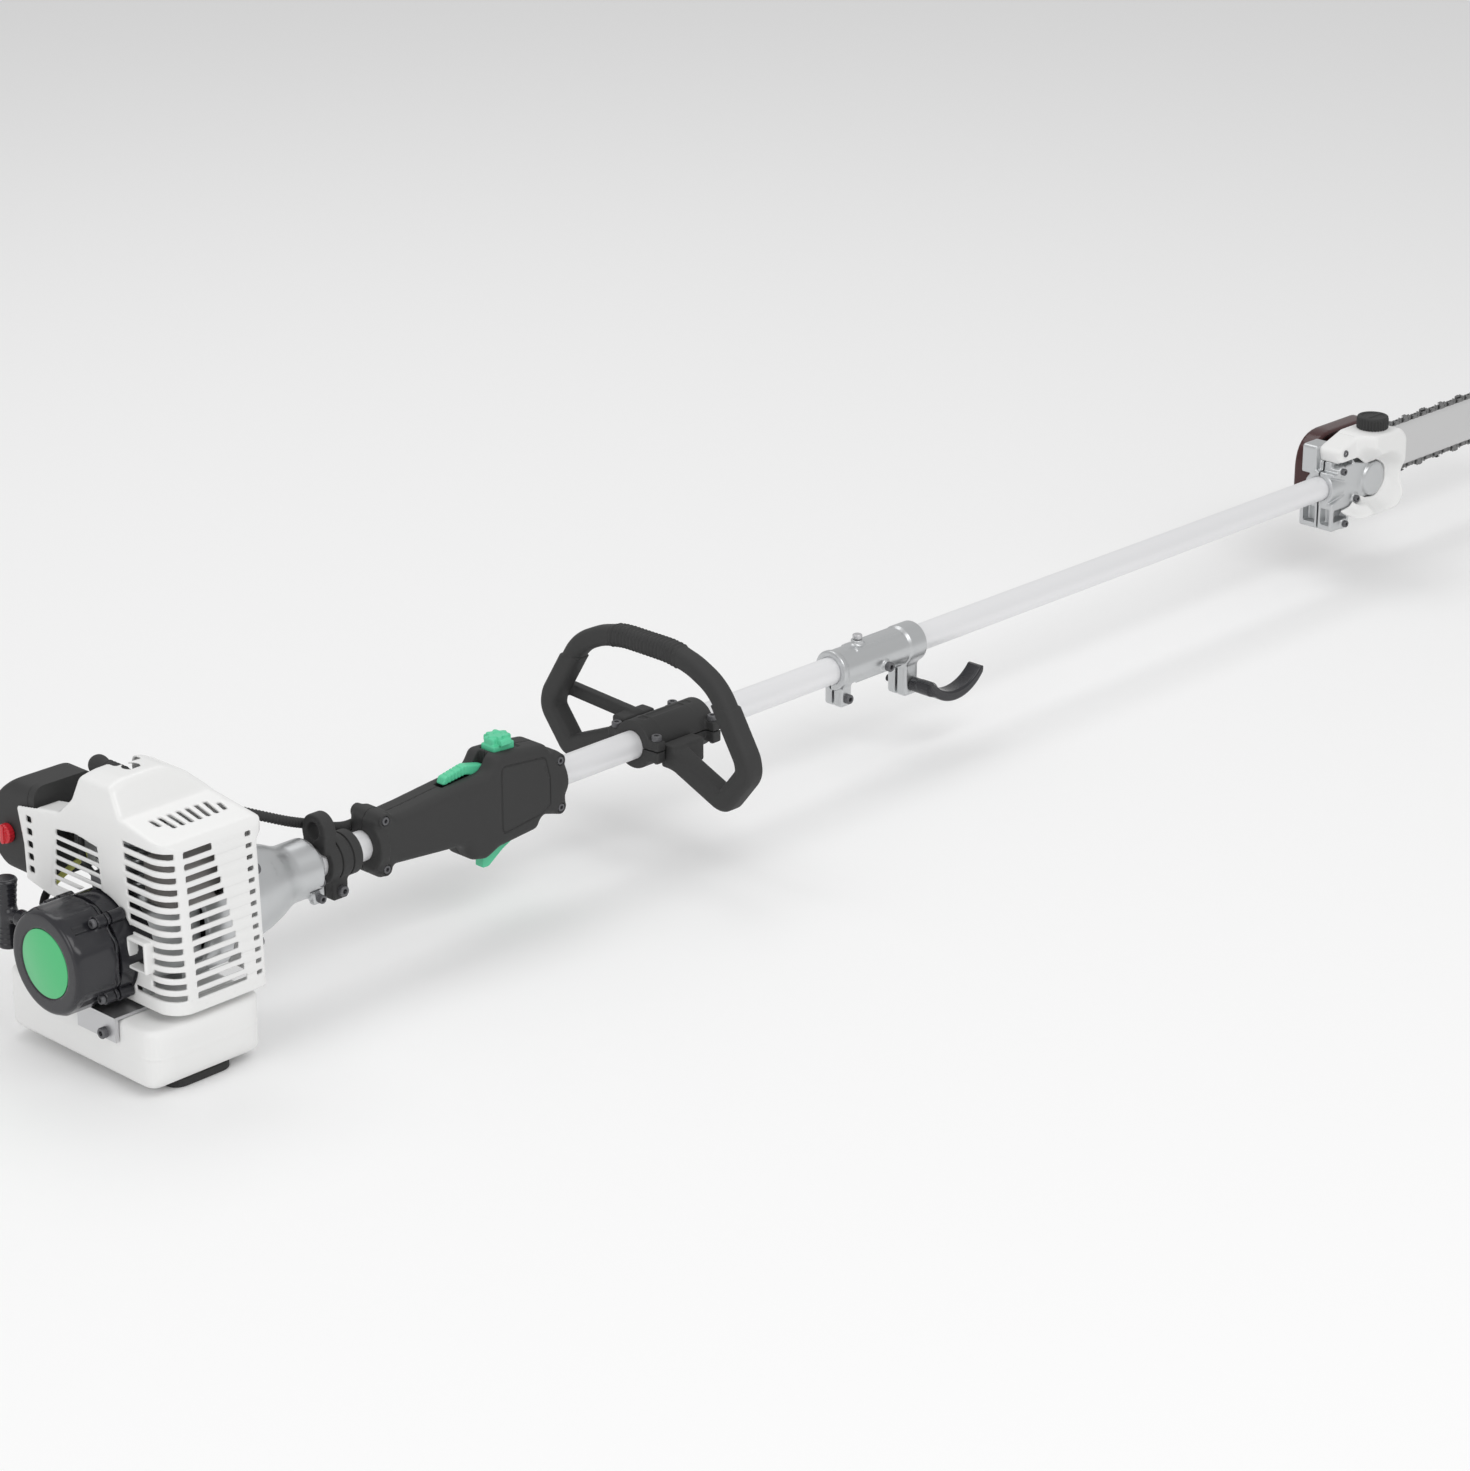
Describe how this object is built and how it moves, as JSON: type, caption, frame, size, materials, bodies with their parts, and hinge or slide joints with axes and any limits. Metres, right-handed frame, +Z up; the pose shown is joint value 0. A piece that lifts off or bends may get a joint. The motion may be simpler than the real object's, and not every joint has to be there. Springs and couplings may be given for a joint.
{
  "type": "petrol pole saw",
  "caption": "Petrol pole saw: small two-stroke engine, controls handle, loop handle and quick coupler on a split shaft with a guide bar and chain head.",
  "frame": {"origin": "centre of the stand foot's underside, under the engine", "axes": "+X along the shaft from the engine to the guide bar, +Z up, +Y towards the air filter and the guide bar's side"},
  "size_m": [2.2814, 0.294, 0.263],
  "materials": {
    "cast_alloy": "cast, bead blasted",
    "machined_steel": "machined",
    "dark_steel": "blackened",
    "muffler_steel": "heat-resistant paint",
    "cover_plastic": "satin gloss",
    "tank_plastic": "translucent moulded",
    "black_gloss": "gloss",
    "black_matte": "fine grain",
    "badge_green": "gloss",
    "control_green": "satin",
    "choke_red": "gloss",
    "rubber_black": "matte",
    "bulb_clear": "smooth",
    "fuel_hose": "smooth",
    "foam": "open-cell foam",
    "rope": "braided",
    "ceramic": "glazed",
    "tube_paint": "satin paint",
    "bar_steel": "ground",
    "chain_steel": "oiled",
    "bar_cover_plastic": "gloss"
  },
  "bodies": {
    "root": {"crankcase": "cast_alloy", "fan_housing": "black_gloss", "cylinder": "cast_alloy", "piston_and_rod": "machined_steel", "clutch_housing": "cast_alloy", "rear_bearings": "machined_steel", "ignition_coil": "dark_steel", "ht_lead": "rubber_black", "spark_plug": "ceramic", "plug_boot": "rubber_black", "muffler": "muffler_steel", "carburettor": "cast_alloy", "air_filter_base": "black_matte", "air_filter_foam": "foam", "air_filter_cover": "black_matte", "engine_cover": "cover_plastic", "fuel_tank": "tank_plastic", "fuel_line": "fuel_hose", "stand_foot": "rubber_black", "mount_bracket": "machined_steel", "starter_housing": "black_gloss", "starter_badge": "badge_green", "recoil_spring": "machined_steel", "starter_rope": "rope", "rear_tube": "tube_paint", "hanger_clamp": "black_matte", "throttle_conduit": "black_matte", "handle_left": "black_matte", "handle_right": "black_matte", "loop_handle": "black_matte", "loop_clamp_base": "black_matte", "loop_clamp_cap": "black_matte", "coupler_body": "cast_alloy", "rear_screws": "dark_steel"},
    "crank": {"crankshaft": "machined_steel", "flywheel": "cast_alloy", "clutch_shoes": "dark_steel"},
    "drive": {"clutch_drum": "machined_steel", "rear_drive_shaft": "machined_steel"},
    "reel": {"starter_reel": "black_matte"},
    "grip": {"starter_grip": "black_gloss"},
    "choke": {"choke_knob": "choke_red"},
    "primer": {"primer_bulb": "bulb_clear"},
    "tank_cap": {"fuel_cap": "black_matte"},
    "trigger_body": {"trigger": "control_green"},
    "lever_body": {"safety_lever": "control_green"},
    "switch_body": {"stop_switch": "control_green"},
    "knob": {"coupler_knob": "black_gloss"},
    "pin": {"locating_pin": "machined_steel"},
    "saw_half": {"front_tube": "tube_paint", "front_bearings": "machined_steel", "gear_case": "cast_alloy", "oil_tank": "tank_plastic", "bar_cover": "bar_cover_plastic", "guide_bar": "bar_steel", "saw_chain": "chain_steel", "head_screws": "dark_steel"},
    "front_drive": {"front_drive_shaft": "machined_steel"},
    "sprocket": {"bevel_gear": "machined_steel"},
    "head_cap": {"oil_cap": "black_matte"}
  },
  "joints": [
    {"name": "crank_spin", "type": "hinge", "parent": "root", "child": "crank", "pos_m": [0.008, 0, 0.115], "axis": [1, 0, 0], "continuous": true},
    {"name": "drive_spin", "type": "hinge", "parent": "root", "child": "drive", "pos_m": [0.06, 0, 0.115], "axis": [1, 0, 0], "continuous": true},
    {"name": "grip_pull", "type": "slide", "parent": "root", "child": "grip", "axis": [0, 1, 0], "range_m": [0, 0.5], "stiffness_N_per_m": 30, "springref_m": -0.2},
    {"name": "reel_spin", "type": "hinge", "parent": "root", "child": "reel", "pos_m": [-0.086, 0, 0.115], "axis": [-1, 0, 0], "range_deg": [0, 1310]},
    {"name": "choke_turn", "type": "hinge", "parent": "root", "child": "choke", "pos_m": [-0.036, 0.128, 0.178], "axis": [-1, 0, 0], "range_deg": [0, 75]},
    {"name": "primer_press", "type": "slide", "parent": "root", "child": "primer", "axis": [-1, 0, 0], "range_m": [0, 0.003], "stiffness_N_per_m": 600, "springref_m": -0.004},
    {"name": "fuel_cap_turn", "type": "hinge", "parent": "root", "child": "tank_cap", "pos_m": [0.022, 0.088, 0.072], "axis": [0, 0, 1], "range_deg": [0, 270]},
    {"name": "trigger_squeeze", "type": "hinge", "parent": "root", "child": "trigger_body", "pos_m": [0.445, 0, 0.088], "axis": [0, 1, 0], "range_deg": [0, 16], "stiffness_Nm_per_rad": 0.6, "springref_deg": -14.32},
    {"name": "safety_press", "type": "hinge", "parent": "root", "child": "lever_body", "pos_m": [0.394, 0, 0.144], "axis": [0, -1, 0], "range_deg": [0, 8], "stiffness_Nm_per_rad": 0.4, "springref_deg": -11.46},
    {"name": "stop_slide", "type": "slide", "parent": "root", "child": "switch_body", "axis": [1, 0, 0], "range_m": [0, 0.005]},
    {"name": "knob_turn", "type": "hinge", "parent": "root", "child": "knob", "pos_m": [0.982, 0, 0.073], "axis": [0, -1, 0], "range_deg": [0, 360]},
    {"name": "pin_pull", "type": "slide", "parent": "root", "child": "pin", "axis": [0, 0, 1], "range_m": [0, 0.006], "stiffness_N_per_m": 800, "springref_m": -0.003},
    {"name": "saw_half_slide", "type": "slide", "parent": "root", "child": "saw_half", "axis": [1, 0, 0], "range_m": [0, 0.11]},
    {"name": "front_drive_spin", "type": "hinge", "parent": "saw_half", "child": "front_drive", "pos_m": [1.3, 0, 0.115], "axis": [1, 0, 0], "continuous": true},
    {"name": "sprocket_spin", "type": "hinge", "parent": "saw_half", "child": "sprocket", "pos_m": [1.776, 0, 0.115], "axis": [0, 1, 0], "continuous": true},
    {"name": "oil_cap_turn", "type": "hinge", "parent": "saw_half", "child": "head_cap", "pos_m": [1.774, -0.018, 0.175], "axis": [0, 0, 1], "range_deg": [0, 270]}
  ],
  "couplings": [
    {"joint": "reel_spin", "follows": "grip_pull", "rad_per_m": 45.455},
    {"joint": "front_drive_spin", "follows": "drive_spin", "ratio": 1},
    {"joint": "sprocket_spin", "follows": "drive_spin", "ratio": 0.77778}
  ]
}
